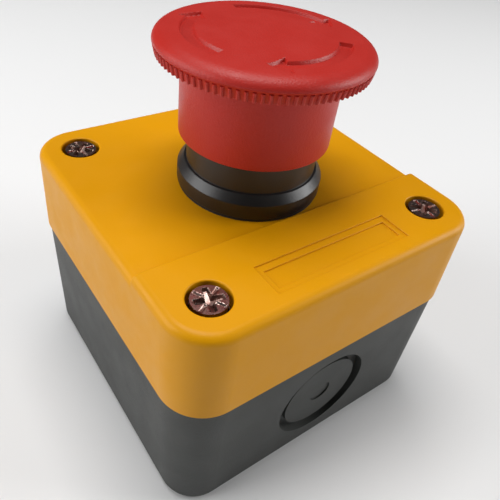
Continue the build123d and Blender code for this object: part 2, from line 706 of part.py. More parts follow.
for kind, side in (("nc", -1), ("no", 1)):
    centre = side * block_centre
    chamber_centre = side * (chamber[0] + chamber[1]) / 2
    chamber_width = chamber[1] - chamber[0]

    # Housing: moulded box, open on its outer side, with screw pockets at both ends.
    with BuildPart() as housing:
        with BuildSketch(Plane.YZ.offset(side * housing_inner)):
            add(block_silhouette())
        extrude(amount=side * (housing_outer - housing_inner))
        for end in (-1, 1):
            block(centre, end * (block_half_length + foot_size[1] / 2), foot_size[0], foot_size[1],
                  block_bottom, foot_high)
            pocket_length = block_half_length - tower_half_length
            block(centre, end * (tower_half_length + pocket_length / 2), pocket_width, pocket_length,
                  pocket_low, block_shoulder, mode=Mode.SUBTRACT)
            wall_y = (chamber_half_length + tower_half_length) / 2
            wall_size = tower_half_length - chamber_half_length
            block(centre, end * wall_y, strip_width + 2 * slot_gap, wall_size,
                  strip_low - slot_gap, strip_low + strip_thickness + slot_gap, mode=Mode.SUBTRACT)
        block(chamber_centre, 0, chamber_width, 2 * chamber_half_length, chamber_low, chamber_high,
              mode=Mode.SUBTRACT)
        block(centre, 0, plunger_size[0] + 2 * plunger_gap, plunger_size[1] + 2 * plunger_gap,
              chamber_high, block_top, mode=Mode.SUBTRACT)
    housing.part.label = f"{kind}_housing"
    export_step(housing.part, f"parts/{kind}_housing.step")

    # Side cover: plate that closes the housing's outer side.
    with BuildPart() as side_cover:
        with BuildSketch(Plane.YZ.offset(side * side_plate[0])):
            add(block_silhouette())
        extrude(amount=side * (side_plate[1] - side_plate[0]))
    side_cover.part.label = f"{kind}_side_cover"
    export_step(side_cover.part, f"parts/{kind}_side_cover.step")

    # Plunger: sliding post with a stop collar and a window for the bridge.
    with BuildPart() as plunger:
        block(centre, 0, plunger_size[0], plunger_size[1], plunger_low, plunger_high)
        block(centre, 0, plunger_size[0], collar_length, collar_levels[0], collar_levels[1])
        block(centre, 0, bridge_size[0] + slot_gap, plunger_size[1], bridge_level - slot_gap,
              bridge_level + bridge_size[2] + slot_gap, mode=Mode.SUBTRACT)
    plunger.part.label = f"{kind}_plunger"
    export_step(plunger.part, f"parts/{kind}_plunger.step")

    # Bridge: moving contact bar. Its buttons face up when it opens the circuit and down when it closes it.
    button_low = bridge_level + bridge_size[2] if kind == "nc" else bridge_level - button_height
    with BuildPart() as bridge:
        block(centre, 0, bridge_size[0], bridge_size[1], bridge_level, bridge_level + bridge_size[2])
        with BuildSketch(Plane.XY.offset(button_low)):
            with Locations((centre, -button_y), (centre, button_y)):
                Circle(button_radius)
        extrude(amount=button_height)
    bridge.part.label = f"{kind}_bridge"
    export_step(bridge.part, f"parts/{kind}_bridge.step")

    # Contact spring: lifts the plunger from the chamber floor.
    with BuildPart() as contact_spring:
        add(coil(centre, contact_spring_radius, contact_spring_wire, chamber_low + spring_end_gap,
                 plunger_low - spring_end_gap, contact_spring_turns))
    contact_spring.part.label = f"{kind}_spring"
    export_step(contact_spring.part, f"parts/{kind}_spring.step")

    # Terminals: two fixed contact strips. The normally open pair is cranked down below the bridge.
    with BuildPart() as terminals:
        for end in (-1, 1):
            strip_start = tip_start if kind == "nc" else riser_start
            block(centre, end * (strip_start + strip_end) / 2, strip_width, strip_end - strip_start,
                  strip_low, strip_low + strip_thickness)
            if kind == "no":
                block(centre, end * (riser_start + strip_thickness / 2), strip_width, strip_thickness,
                      closing_tip_low, strip_low)
                block(centre, end * (tip_start + riser_start) / 2, strip_width, riser_start - tip_start,
                      closing_tip_low, closing_tip_low + strip_thickness)
        with BuildSketch(Plane.XY.offset(strip_low)):
            with Locations((centre, -terminal_y), (centre, terminal_y)):
                Circle(terminal_shank_radius + fit_gap)
        extrude(amount=strip_thickness, mode=Mode.SUBTRACT)
    terminals.part.label = f"{kind}_terminals"
    export_step(terminals.part, f"parts/{kind}_terminals.step")

    # Clamps: square wire washers on the strips.
    with BuildPart() as clamps:
        with BuildSketch(Plane.XY.offset(clamp_levels[0])):
            with Locations((centre, -terminal_y), (centre, terminal_y)):
                Rectangle(clamp_size, clamp_size)
                Circle(terminal_shank_radius + fit_gap, mode=Mode.SUBTRACT)
        extrude(amount=clamp_levels[1] - clamp_levels[0])
    clamps.part.label = f"{kind}_clamps"
    export_step(clamps.part, f"parts/{kind}_clamps.step")

    # Terminal screws: slotted wire screws.
    with BuildPart() as terminal_screws:
        with BuildSketch(Plane.XY.offset(terminal_shank_low)):
            with Locations((centre, -terminal_y), (centre, terminal_y)):
                Circle(terminal_shank_radius)
        extrude(amount=terminal_head[0] - terminal_shank_low)
        with BuildSketch(Plane.XY.offset(terminal_head[0])):
            with Locations((centre, -terminal_y), (centre, terminal_y)):
                Circle(terminal_head_radius)
        extrude(amount=terminal_head[1] - terminal_head[0])
        for end in (-1, 1):
            block(centre, end * terminal_y, 2 * terminal_head_radius, screw_slot[0],
                  terminal_head[1] - screw_slot[1], terminal_head[1], mode=Mode.SUBTRACT)
    terminal_screws.part.label = f"{kind}_terminal_screws"
    export_step(terminal_screws.part, f"parts/{kind}_terminal_screws.step")
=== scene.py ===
import math

import bmesh
import bpy
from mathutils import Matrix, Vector


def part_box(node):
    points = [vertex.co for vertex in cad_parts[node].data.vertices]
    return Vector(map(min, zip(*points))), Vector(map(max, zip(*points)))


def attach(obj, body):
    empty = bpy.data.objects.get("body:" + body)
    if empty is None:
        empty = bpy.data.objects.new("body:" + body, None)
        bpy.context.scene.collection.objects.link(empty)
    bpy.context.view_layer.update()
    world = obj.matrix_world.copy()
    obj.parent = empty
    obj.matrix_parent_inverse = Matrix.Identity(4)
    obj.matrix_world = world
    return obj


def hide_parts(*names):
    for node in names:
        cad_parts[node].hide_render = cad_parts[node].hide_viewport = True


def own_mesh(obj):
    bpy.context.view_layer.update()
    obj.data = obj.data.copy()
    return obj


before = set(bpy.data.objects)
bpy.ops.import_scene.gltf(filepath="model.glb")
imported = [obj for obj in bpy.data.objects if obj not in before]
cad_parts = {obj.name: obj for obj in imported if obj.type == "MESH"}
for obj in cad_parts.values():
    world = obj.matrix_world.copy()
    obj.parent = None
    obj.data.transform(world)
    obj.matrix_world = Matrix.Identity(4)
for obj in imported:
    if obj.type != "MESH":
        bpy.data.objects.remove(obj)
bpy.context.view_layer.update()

# BASE BOX
# The lower half of the enclosure, injection moulded in dark grey ABS with a fine spark-eroded texture.
# It is screwed to the wall through its floor, and a round cable knockout is moulded in two of its walls.
MM = 0.001


def add_socket(group, name, kind, way, value=None):
    """A named socket on a node group."""
    socket = group.interface.new_socket(name=name, in_out=way, socket_type="NodeSocket" + kind)
    if value is not None:
        socket.default_value = value
    return socket


def node(tree, kind, **settings):
    """A node of the given kind with its plain settings made."""
    made = tree.nodes.new(kind)
    for key, value in settings.items():
        setattr(made, key, value)
    return made


def join(tree, start, end):
    """Link from (node, output) to (node, input)."""
    tree.links.new(start[0].outputs[start[1]], end[0].inputs[end[1]])


def make_moulded_surface():
    """Moulded plastic: spark-eroded grain, cloudy tone and rubbed patches."""
    group = bpy.data.node_groups.new("moulded_surface", "ShaderNodeTree")
    add_socket(group, "Colour", "Color", "INPUT", (0.5, 0.5, 0.5, 1))
    add_socket(group, "Grain per metre", "Float", "INPUT", 2600.0)
    add_socket(group, "Tone change", "Float", "INPUT", 0.12)
    add_socket(group, "Roughness low", "Float", "INPUT", 0.35)
    add_socket(group, "Roughness high", "Float", "INPUT", 0.5)
    add_socket(group, "Surface colour", "Color", "OUTPUT")
    add_socket(group, "Surface roughness", "Float", "OUTPUT")
    add_socket(group, "Grain height", "Float", "OUTPUT")
    outside = node(group, "NodeGroupInput")
    result = node(group, "NodeGroupOutput")
    place = node(group, "ShaderNodeTexCoord")
    grain = node(group, "ShaderNodeTexNoise")
    grain.inputs["Detail"].default_value = 3.0
    cloud = node(group, "ShaderNodeTexNoise")
    cloud.inputs["Scale"].default_value = 55.0
    cloud.inputs["Detail"].default_value = 5.0
    rub = node(group, "ShaderNodeTexNoise")
    rub.inputs["Scale"].default_value = 160.0
    rub.inputs["Detail"].default_value = 6.0
    for texture in (grain, cloud, rub):
        join(group, (place, "Object"), (texture, "Vector"))
    join(group, (outside, "Grain per metre"), (grain, "Scale"))
    mixed = node(group, "ShaderNodeMath", operation="MULTIPLY_ADD")
    mixed.inputs[1].default_value = 0.35
    join(group, (grain, "Fac"), (mixed, 0))
    join(group, (cloud, "Fac"), (mixed, 2))
    centred = node(group, "ShaderNodeMath", operation="SUBTRACT")
    centred.inputs[1].default_value = 0.675
    join(group, (mixed, "Value"), (centred, 0))
    amount = node(group, "ShaderNodeMath", operation="MULTIPLY")
    join(group, (centred, "Value"), (amount, 0))
    join(group, (outside, "Tone change"), (amount, 1))
    level = node(group, "ShaderNodeMath", operation="ADD")
    level.inputs[1].default_value = 1.0
    join(group, (amount, "Value"), (level, 0))
    tinted = node(group, "ShaderNodeVectorMath", operation="SCALE")
    join(group, (outside, "Colour"), (tinted, "Vector"))
    join(group, (level, "Value"), (tinted, "Scale"))
    join(group, (tinted, "Vector"), (result, "Surface colour"))
    spread = node(group, "ShaderNodeMapRange")
    spread.inputs["From Min"].default_value = 0.35
    spread.inputs["From Max"].default_value = 0.65
    join(group, (rub, "Fac"), (spread, "Value"))
    join(group, (outside, "Roughness low"), (spread, "To Min"))
    join(group, (outside, "Roughness high"), (spread, "To Max"))
    join(group, (spread, "Result"), (result, "Surface roughness"))
    join(group, (grain, "Fac"), (result, "Grain height"))
    return group


moulded_surface = make_moulded_surface()


def plastic(name, colour, rough=(0.35, 0.5), grain=2600.0, tone=0.12, depth=0.03, coat=0.0, specular=0.5):
    """Material of a moulded plastic; grain is grains per metre and depth is the grain's bump in mm."""
    material = bpy.data.materials.new(name)
    material.use_nodes = True
    tree = material.node_tree
    shader = tree.nodes["Principled BSDF"]
    surface = node(tree, "ShaderNodeGroup", node_tree=moulded_surface)
    surface.inputs["Colour"].default_value = (*colour, 1)
    surface.inputs["Grain per metre"].default_value = grain
    surface.inputs["Tone change"].default_value = tone
    surface.inputs["Roughness low"].default_value = rough[0]
    surface.inputs["Roughness high"].default_value = rough[1]
    bump = node(tree, "ShaderNodeBump")
    bump.inputs["Distance"].default_value = depth * MM
    join(tree, (surface, "Surface colour"), (shader, "Base Color"))
    join(tree, (surface, "Surface roughness"), (shader, "Roughness"))
    join(tree, (surface, "Grain height"), (bump, "Height"))
    join(tree, (bump, "Normal"), (shader, "Normal"))
    shader.inputs["Coat Weight"].default_value = coat
    shader.inputs["Coat Roughness"].default_value = 0.3
    shader.inputs["Specular IOR Level"].default_value = specular
    return material


def dress(name, material):
    """Give a carried-over node its material."""
    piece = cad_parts[name]
    piece.data.materials.clear()
    piece.data.materials.append(material)


grey_plastic = plastic("base_grey_abs", (0.042, 0.044, 0.041), rough=(0.46, 0.52), grain=3200.0, depth=0.07,
                       tone=0.05, specular=0.3)
dress("base_box", grey_plastic)

# CONTACT BLOCKS
# Two blocks clipped to the floor: pressing the head opens the red one's circuit and closes the green one's.
# Housings are glass-filled polyamide, contact parts are stamped brass, screws and clamps are plated steel.


def make_metal_surface():
    """Worked metal: fine draw lines along Z, a few polished spots and blotches; the blotches are tarnished
    metal, but a painted reflection on the screws.
    """
    group = bpy.data.node_groups.new("worked_metal", "ShaderNodeTree")
    add_socket(group, "Colour", "Color", "INPUT", (0.6, 0.6, 0.6, 1))
    add_socket(group, "Tarnish", "Color", "INPUT", (0.3, 0.2, 0.12, 1))
    add_socket(group, "Tarnish amount", "Float", "INPUT", 0.3)
    add_socket(group, "Roughness low", "Float", "INPUT", 0.15)
    add_socket(group, "Roughness high", "Float", "INPUT", 0.4)
    add_socket(group, "Metal colour", "Color", "OUTPUT")
    add_socket(group, "Metal roughness", "Float", "OUTPUT")
    add_socket(group, "Line height", "Float", "OUTPUT")
    outside = node(group, "NodeGroupInput")
    result = node(group, "NodeGroupOutput")
    place = node(group, "ShaderNodeTexCoord")
    stretch = node(group, "ShaderNodeMapping")
    stretch.inputs["Scale"].default_value = (1.0, 1.0, 0.08)
    join(group, (place, "Object"), (stretch, "Vector"))
    lines = node(group, "ShaderNodeTexNoise")
    lines.inputs["Scale"].default_value = 5200.0
    join(group, (stretch, "Vector"), (lines, "Vector"))
    blotch = node(group, "ShaderNodeTexNoise")
    blotch.inputs["Scale"].default_value = 420.0
    blotch.inputs["Detail"].default_value = 6.0
    join(group, (place, "Object"), (blotch, "Vector"))
    mask = node(group, "ShaderNodeMapRange")
    mask.inputs["From Min"].default_value = 0.42
    mask.inputs["From Max"].default_value = 0.68
    join(group, (blotch, "Fac"), (mask, "Value"))
    share = node(group, "ShaderNodeMath", operation="MULTIPLY")
    join(group, (mask, "Result"), (share, 0))
    join(group, (outside, "Tarnish amount"), (share, 1))
    colour = node(group, "ShaderNodeMix", data_type="RGBA")
    join(group, (share, "Value"), (colour, 0))
    join(group, (outside, "Colour"), (colour, 6))
    join(group, (outside, "Tarnish"), (colour, 7))
    group.links.new(colour.outputs[2], result.inputs["Metal colour"])
    spread = node(group, "ShaderNodeMapRange")
    join(group, (mask, "Result"), (spread, "Value"))
    join(group, (outside, "Roughness low"), (spread, "To Min"))
    join(group, (outside, "Roughness high"), (spread, "To Max"))
    join(group, (spread, "Result"), (result, "Metal roughness"))
    join(group, (lines, "Fac"), (result, "Line height"))
    return group


worked_metal = make_metal_surface()


def metal(name, colour, tarnish_and_reflection, amount=0.3, rough=(0.15, 0.4), depth=0.004):
    """Material of a metal part; depth is the draw lines' bump in mm. On the screw plating the blotch colour
    is a painted reflection.
    """
    material = bpy.data.materials.new(name)
    material.use_nodes = True
    tree = material.node_tree
    shader = tree.nodes["Principled BSDF"]
    surface = node(tree, "ShaderNodeGroup", node_tree=worked_metal)
    surface.inputs["Colour"].default_value = (*colour, 1)
    surface.inputs["Tarnish"].default_value = (*tarnish_and_reflection, 1)
    surface.inputs["Tarnish amount"].default_value = amount
    surface.inputs["Roughness low"].default_value = rough[0]
    surface.inputs["Roughness high"].default_value = rough[1]
    bump = node(tree, "ShaderNodeBump")
    bump.inputs["Distance"].default_value = depth * MM
    join(tree, (surface, "Metal colour"), (shader, "Base Color"))
    join(tree, (surface, "Metal roughness"), (shader, "Roughness"))
    join(tree, (surface, "Line height"), (bump, "Height"))
    join(tree, (bump, "Normal"), (shader, "Normal"))
    shader.inputs["Metallic"].default_value = 1.0
    return material


brass = metal("contact_brass", (0.80, 0.60, 0.27), (0.35, 0.20, 0.08))
plated_steel = metal("plated_steel", (0.66, 0.64, 0.62), (0.30, 0.20, 0.15))
spring_steel = metal("spring_steel", (0.42, 0.42, 0.43), (0.16, 0.13, 0.11), rough=(0.25, 0.45))
plunger_plastic = plastic("plunger_acetal", (0.72, 0.72, 0.68), rough=(0.3, 0.4), depth=0.01)
def grow(piece, tree, **inputs):
    """Run a Geometry Nodes tree on a piece and keep its result as the piece's plain mesh."""
    modifier = piece.modifiers.new(tree.name, "NODES")
    modifier.node_group = tree
    for item in tree.interface.items_tree:
        key = item.name.replace(" ", "_").lower()
        if item.in_out == "INPUT" and key in inputs:
            modifier[item.identifier] = inputs[key]
    settle(piece)


def settle(piece):
    """Replace a piece's modifiers by the mesh that they give."""
    graph = bpy.context.evaluated_depsgraph_get()
    result = bpy.data.meshes.new_from_object(piece.evaluated_get(graph))
    piece.modifiers.clear()
    piece.data = result


def keep(piece, body, slot, *stands_for):
    """Hand a finished piece to the frame."""
    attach(piece, body)
    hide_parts(*stands_for)


def make_coil_tree():
    """Geometry Nodes: a round-wire compression spring whose end coils lie flat."""
    tree = bpy.data.node_groups.new("coil_spring", "GeometryNodeTree")
    add_socket(tree, "Geometry", "Geometry", "OUTPUT")
    add_socket(tree, "Geometry", "Geometry", "INPUT")
    add_socket(tree, "Radius", "Float", "INPUT", 0.002)
    add_socket(tree, "Wire", "Float", "INPUT", 0.0004)
    add_socket(tree, "Turns", "Float", "INPUT", 6.0)
    add_socket(tree, "Height", "Float", "INPUT", 0.01)
    add_socket(tree, "Place", "Vector", "INPUT")
    add_socket(tree, "Material", "Material", "INPUT")
    outside = node(tree, "NodeGroupInput")
    result = node(tree, "NodeGroupOutput")
    spiral = node(tree, "GeometryNodeCurveSpiral")
    spiral.inputs["Resolution"].default_value = 24
    spiral.inputs["Height"].default_value = 0.0
    join(tree, (outside, "Turns"), (spiral, "Rotations"))
    join(tree, (outside, "Radius"), (spiral, "Start Radius"))
    join(tree, (outside, "Radius"), (spiral, "End Radius"))
    along = node(tree, "GeometryNodeSplineParameter")
    climb = node(tree, "ShaderNodeMapRange")
    climb.inputs["From Min"].default_value = 0.08
    climb.inputs["From Max"].default_value = 0.92
    join(tree, (along, "Factor"), (climb, "Value"))
    join(tree, (outside, "Height"), (climb, "To Max"))
    rise = node(tree, "ShaderNodeCombineXYZ")
    join(tree, (climb, "Result"), (rise, "Z"))
    shift = node(tree, "ShaderNodeVectorMath", operation="ADD")
    join(tree, (rise, "Vector"), (shift, 0))
    join(tree, (outside, "Place"), (shift, 1))
    wound = node(tree, "GeometryNodeSetPosition")
    join(tree, (spiral, "Curve"), (wound, "Geometry"))
    join(tree, (shift, "Vector"), (wound, "Offset"))
    section = node(tree, "GeometryNodeCurvePrimitiveCircle")
    section.inputs["Resolution"].default_value = 8
    join(tree, (outside, "Wire"), (section, "Radius"))
    swept = node(tree, "GeometryNodeCurveToMesh")
    swept.inputs["Fill Caps"].default_value = True
    join(tree, (wound, "Geometry"), (swept, "Curve"))
    join(tree, (section, "Curve"), (swept, "Profile Curve"))
    real = node(tree, "GeometryNodeRealizeInstances")
    join(tree, (swept, "Mesh"), (real, "Geometry"))
    finish = node(tree, "GeometryNodeSetMaterial")
    join(tree, (real, "Geometry"), (finish, "Geometry"))
    join(tree, (outside, "Material"), (finish, "Material"))
    join(tree, (finish, "Geometry"), (result, "Geometry"))
    return tree


coil_spring = make_coil_tree()


def wind_spring(name, stands_for, wire, turns):
    """Spring in its CAD node's place, in mm, standing on the node's lower end."""
    low, high = (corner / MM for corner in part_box(stands_for))
    centre = (low + high) / 2
    height = high.z - low.z
    spring = bpy.data.objects.new(name, bpy.data.meshes.new(name))
    bpy.context.scene.collection.objects.link(spring)
    grow(spring, coil_spring, radius=((high.x - low.x) / 2 - wire) * MM, wire=wire * MM, turns=turns,
         height=(height - 2 * wire) * MM, place=Vector((centre.x, centre.y, low.z + wire)) * MM,
         material=spring_steel)
    spring.data.shade_smooth()
    keep(spring, "enclosure", "spring_steel", stands_for)
    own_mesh(spring)


block_plastics = {
    "nc": plastic("block_red_polyamide", (0.46, 0.03, 0.025), rough=(0.45, 0.6)),
    "no": plastic("block_green_polyamide", (0.02, 0.24, 0.08), rough=(0.45, 0.6)),
}
for kind, block_plastic in block_plastics.items():
    dress(kind + "_housing", block_plastic)
    dress(kind + "_side_cover", block_plastic)
    dress(kind + "_plunger", plunger_plastic)
    dress(kind + "_bridge", brass)
    dress(kind + "_terminals", brass)
    wind_spring(kind + "_lift_spring", kind + "_spring", 0.35, 6.0)
    dress(kind + "_clamps", plated_steel)
    dress(kind + "_terminal_screws", plated_steel)

# COVER AND ITS SEAL
# The yellow upper half, moulded in ABS, with a raised front strip and a two-step field for a label plate.
# It closes on a rubber cord that lies on the base's tongue.
yellow_plastic = plastic("cover_yellow_abs", (0.69, 0.305, 0.001), rough=(0.34, 0.46), depth=0.015,
                         tone=0.06, specular=0.17)
rubber = plastic("seal_rubber", (0.016, 0.016, 0.016), rough=(0.6, 0.8), depth=0.03, tone=0.3)
dress("cover", yellow_plastic)
dress("cover_seal", rubber)

# OPERATOR: BEZEL, GASKET, NUT AND MOVING PARTS
# A black polyamide bezel clamps the cover between its flange and a ring nut, and guides the head's skirt.
# The steel stem, its return spring and the keyed pusher run inside the threaded barrel.


def rounded_outline(corners, arc_steps):
    """Outline points from (radius, height, rounding) corners, all in mm; a rounding is made as an arc."""
    count = len(corners)
    points = []
    for index, (r, z, rounding) in enumerate(corners):
        corner = Vector((r, z))
        if rounding == 0:
            points.append(corner)
            continue
        before = (Vector(corners[index - 1][:2]) - corner).normalized()
        after = (Vector(corners[(index + 1) % count][:2]) - corner).normalized()
        half = before.angle(after) / 2
        centre = corner + (before + after).normalized() * (rounding / math.sin(half))
        start = corner + before * (rounding / math.tan(half)) - centre
        end = corner + after * (rounding / math.tan(half)) - centre
        sweep = start.angle_signed(end)
        for step in range(arc_steps + 1):
            turn = -sweep * step / arc_steps
            points.append(centre + Vector((start.x * math.cos(turn) - start.y * math.sin(turn),
                                           start.x * math.sin(turn) + start.y * math.cos(turn))))
    return points


def turned(name, outline, segments, shape=None):
    """Mesh object of a shape turned about Z from its closed outline, in mm.

    A point on the axis becomes one vertex. shape, if given, moves each vertex by a rule.
    """
    mesh = bpy.data.meshes.new(name)
    build = bmesh.new()
    rings = []
    for r, z in outline:
        ring = []
        for index in range(1 if r < 1e-6 else segments):
            turn = 2 * math.pi * index / segments
            spot = Vector((r * math.cos(turn), r * math.sin(turn), z))
            if shape:
                spot = shape(spot)
            ring.append(build.verts.new(spot * MM))
        rings.append(ring)
    for here, there in zip(rings, rings[1:] + rings[:1]):
        for index in range(segments):
            after = (index + 1) % segments
            if len(here) == 1 and len(there) == 1:
                break
            corners = [here[index % len(here)], there[index % len(there)],
                       there[after % len(there)], here[after % len(here)]]
            build.faces.new(dict.fromkeys(corners))
    bmesh.ops.recalc_face_normals(build, faces=build.faces)
    build.to_mesh(mesh)
    build.free()
    mesh.shade_smooth()
    mesh.set_sharp_from_angle(angle=math.radians(40))
    piece = bpy.data.objects.new(name, mesh)
    bpy.context.scene.collection.objects.link(piece)
    return piece


def make_thread_tree():
    """Geometry Nodes: a helical thread ridge, joined to the piece that it is cut on."""
    tree = bpy.data.node_groups.new("thread_ridge", "GeometryNodeTree")
    add_socket(tree, "Geometry", "Geometry", "OUTPUT")
    add_socket(tree, "Geometry", "Geometry", "INPUT")
    add_socket(tree, "Radius", "Float", "INPUT", 0.0108)
    add_socket(tree, "Ridge", "Float", "INPUT", 0.0003)
    add_socket(tree, "Pitch", "Float", "INPUT", 0.001)
    add_socket(tree, "Bottom", "Float", "INPUT", 0.036)
    add_socket(tree, "Top", "Float", "INPUT", 0.046)
    add_socket(tree, "Material", "Material", "INPUT")
    outside = node(tree, "NodeGroupInput")
    result = node(tree, "NodeGroupOutput")
    length = node(tree, "ShaderNodeMath", operation="SUBTRACT")
    join(tree, (outside, "Top"), (length, 0))
    join(tree, (outside, "Bottom"), (length, 1))
    turns = node(tree, "ShaderNodeMath", operation="DIVIDE")
    join(tree, (length, "Value"), (turns, 0))
    join(tree, (outside, "Pitch"), (turns, 1))
    spiral = node(tree, "GeometryNodeCurveSpiral")
    spiral.inputs["Resolution"].default_value = 48
    join(tree, (turns, "Value"), (spiral, "Rotations"))
    join(tree, (outside, "Radius"), (spiral, "Start Radius"))
    join(tree, (outside, "Radius"), (spiral, "End Radius"))
    join(tree, (length, "Value"), (spiral, "Height"))
    lift = node(tree, "ShaderNodeCombineXYZ")
    join(tree, (outside, "Bottom"), (lift, "Z"))
    placed = node(tree, "GeometryNodeTransform")
    join(tree, (spiral, "Curve"), (placed, "Geometry"))
    join(tree, (lift, "Vector"), (placed, "Translation"))
    ridge = node(tree, "GeometryNodeCurvePrimitiveCircle")
    ridge.inputs["Resolution"].default_value = 4
    join(tree, (outside, "Ridge"), (ridge, "Radius"))
    swept = node(tree, "GeometryNodeCurveToMesh")
    swept.inputs["Fill Caps"].default_value = True
    join(tree, (placed, "Geometry"), (swept, "Curve"))
    join(tree, (ridge, "Curve"), (swept, "Profile Curve"))
    both = node(tree, "GeometryNodeJoinGeometry")
    join(tree, (swept, "Mesh"), (both, "Geometry"))
    join(tree, (outside, "Geometry"), (both, "Geometry"))
    real = node(tree, "GeometryNodeRealizeInstances")
    join(tree, (both, "Geometry"), (real, "Geometry"))
    finish = node(tree, "GeometryNodeSetMaterial")
    join(tree, (real, "Geometry"), (finish, "Geometry"))
    join(tree, (outside, "Material"), (finish, "Material"))
    join(tree, (finish, "Geometry"), (result, "Geometry"))
    return tree


thread_ridge = make_thread_tree()
black_plastic = plastic("bezel_black_polyamide", (0.010, 0.009, 0.009), rough=(0.34, 0.44), depth=0.008,
                        tone=0.3, specular=0.6)
bezel_low, bezel_high = (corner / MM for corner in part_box("bezel"))
gasket_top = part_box("bezel_gasket")[1].z / MM
flange_radius = bezel_high.x
guide_radius = 12.9
barrel_radius = 10.9
web_levels = (49.0, 52.0)
stem_bore = 3.58
shoulder_top = gasket_top + 4.6
shoulder_edge = gasket_top + 3.0
guide_slot_reach = 10.2
guide_slot_half_width = 1.3
barrel_bore = 9.3
guide_bore = 10.6
bore_limit = barrel_bore + 0.2
barrel_thread_depth = 0.3
thread_root = barrel_radius - barrel_thread_depth
shoulder_ledge = 0.4


def guide_slots(spot):
    """Widen the barrel's bore into the two slots that the pusher's keys slide in."""
    in_bore = spot.z < web_levels[0] and math.hypot(spot.x, spot.y) < bore_limit
    if in_bore and abs(spot.y) < guide_slot_half_width:
        spot.x = math.copysign(guide_slot_reach, spot.x)
    return spot


bezel = turned("bezel_shell", rounded_outline([
    (stem_bore, web_levels[0], 0.2),
    (barrel_bore, web_levels[0], 0.3),
    (barrel_bore, bezel_low.z, 0.15),
    (thread_root, bezel_low.z, 0.3),
    (thread_root, gasket_top, 0.1),
    (flange_radius, gasket_top, 0.25),
    (flange_radius, shoulder_edge, 0.3),
    (guide_radius + shoulder_ledge, shoulder_top, 0.35),
    (guide_radius, shoulder_top + 0.1, 0.05),
    (guide_radius, bezel_high.z, 0.3),
    (guide_bore, bezel_high.z, 0.3),
    (guide_bore, web_levels[1], 0.4),
    (stem_bore, web_levels[1], 0.2),
], 5), 160, guide_slots)
grow(bezel, thread_ridge, radius=thread_root * MM, ridge=barrel_thread_depth * MM, pitch=1.0 * MM,
     bottom=(bezel_low.z + 0.4) * MM, top=(gasket_top - 0.8) * MM, material=black_plastic)
keep(bezel, "enclosure", "black_plastic", "bezel")
dress("bezel_gasket", rubber)
dress("stem_seal", rubber)
dress("lock_washer", plated_steel)
dress("ring_nut", black_plastic)
dress("stem", plated_steel)
dress("cap_pin", plated_steel)
wind_spring("head_return_spring", "return_spring", 0.6, 8.0)
dress("latch_spring", spring_steel)
dress("pusher", plunger_plastic)
dress("snap_ring", spring_steel)

# MUSHROOM CAP
# The red head that is struck to stop the machine: one ABS moulding with a skirt over the guide tube.
# Small grip ribs run under its edge, and three engraved arrows show which way to turn it to release.
red_plastic = plastic("cap_red_abs", (0.47, 0.019, 0.012), rough=(0.38, 0.48), grain=3000.0, depth=0.07,
                      tone=0.16, specular=0.4)
cap_low, cap_high = (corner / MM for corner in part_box("mushroom_cap"))
cap_radius = cap_high.x
cap_top = cap_high.z
skirt_bore = 13.4
skirt_radii = (14.7, 14.9)
rim_side = (19.1, 19.5)
rim_low = 76.1
rim_high = 77.9
shoulder_radius = 17.0
shoulder_z = cap_top - 0.43
arrow_tails = [199.5 + 120.0 * turn for turn in range(3)]
arrow_sweep = 72.0
arrow_middle = 13.9
arrow_half_width = 1.2
arrow_barb = 2.65
arrow_head_sweep = 14.0
arrow_depth = 0.62
arrow_edge = 0.3


def arrow_cover(r, angle):
    """How deep in an arrow a spot is: 1 on its floor, 0 outside, with a short slope at its edge."""
    inside = -1.0
    for tail in arrow_tails:
        behind = (tail - angle) % 360.0
        if behind > 180.0:
            behind -= 360.0
        along = math.radians(behind) * arrow_middle
        neck = math.radians(arrow_sweep) * arrow_middle
        tip = math.radians(arrow_sweep + arrow_head_sweep) * arrow_middle
        across = abs(r - arrow_middle)
        shaft = min(along, neck + 0.3 - along, arrow_half_width - across)
        lean = arrow_barb / (tip - neck)
        head = min(along - neck, ((tip - along) * lean - across) / math.hypot(1, lean))
        inside = max(inside, shaft, head)
    share = min(1.0, max(0.0, 0.5 + inside / arrow_edge))
    return share * share * (3 - 2 * share)


def engrave(spot):
    """Sink the arrows into the top face."""
    r = math.hypot(spot.x, spot.y)
    if spot.z > shoulder_z - 0.05 and 10.5 < r < 17.3:
        angle = math.degrees(math.atan2(spot.y, spot.x))
        spot.z -= arrow_depth * arrow_cover(r, angle)
    return spot


dome_rise = cap_top - shoulder_z
dome_radius = (shoulder_radius ** 2 + dome_rise ** 2) / (2 * dome_rise)
cap_outline = rounded_outline([
    (skirt_bore, cap_low.z, 0.15),
    (skirt_radii[0], cap_low.z, 0.35),
    (skirt_radii[1], rim_low + 0.2, 0.5),
    (rim_side[0], rim_low, 0.12),
    (rim_side[1], rim_high, 0.0),
    (cap_radius - 0.2, rim_high + 0.12, 0.1),
    (cap_radius, rim_high + 0.45, 0.0),
], 6)
cap_outline = cap_outline[:-1]
# Rounded edge from the widest ring to the flat top, then the slightly domed top in fine rings
edge_low = Vector((cap_radius, rim_high + 0.4))
edge_high = Vector((shoulder_radius, shoulder_z))
for step in range(15):
    turn = math.radians(90) * step / 14
    cap_outline.append(Vector((edge_high.x + (edge_low.x - edge_high.x) * math.cos(turn),
                               edge_low.y + (edge_high.y - edge_low.y) * math.sin(turn))))
stem_socket = (3.55, 76.3)
boss = (4.8, 67.0)
cap_ceiling = 77.3
arrow_zone = (arrow_middle - arrow_barb - 0.2, arrow_middle + arrow_barb + 0.2)
fine_rings = 58
coarse_rings = 12
zone_width = arrow_zone[0] - arrow_zone[1]
top_radii = [arrow_zone[1] + zone_width * step / fine_rings for step in range(fine_rings + 1)]
top_radii += [arrow_zone[0] * (1 - step / coarse_rings) for step in range(1, coarse_rings + 1)]
for r in top_radii:
    cap_outline.append(Vector((r, cap_top - dome_radius + math.sqrt(dome_radius ** 2 - r ** 2))))
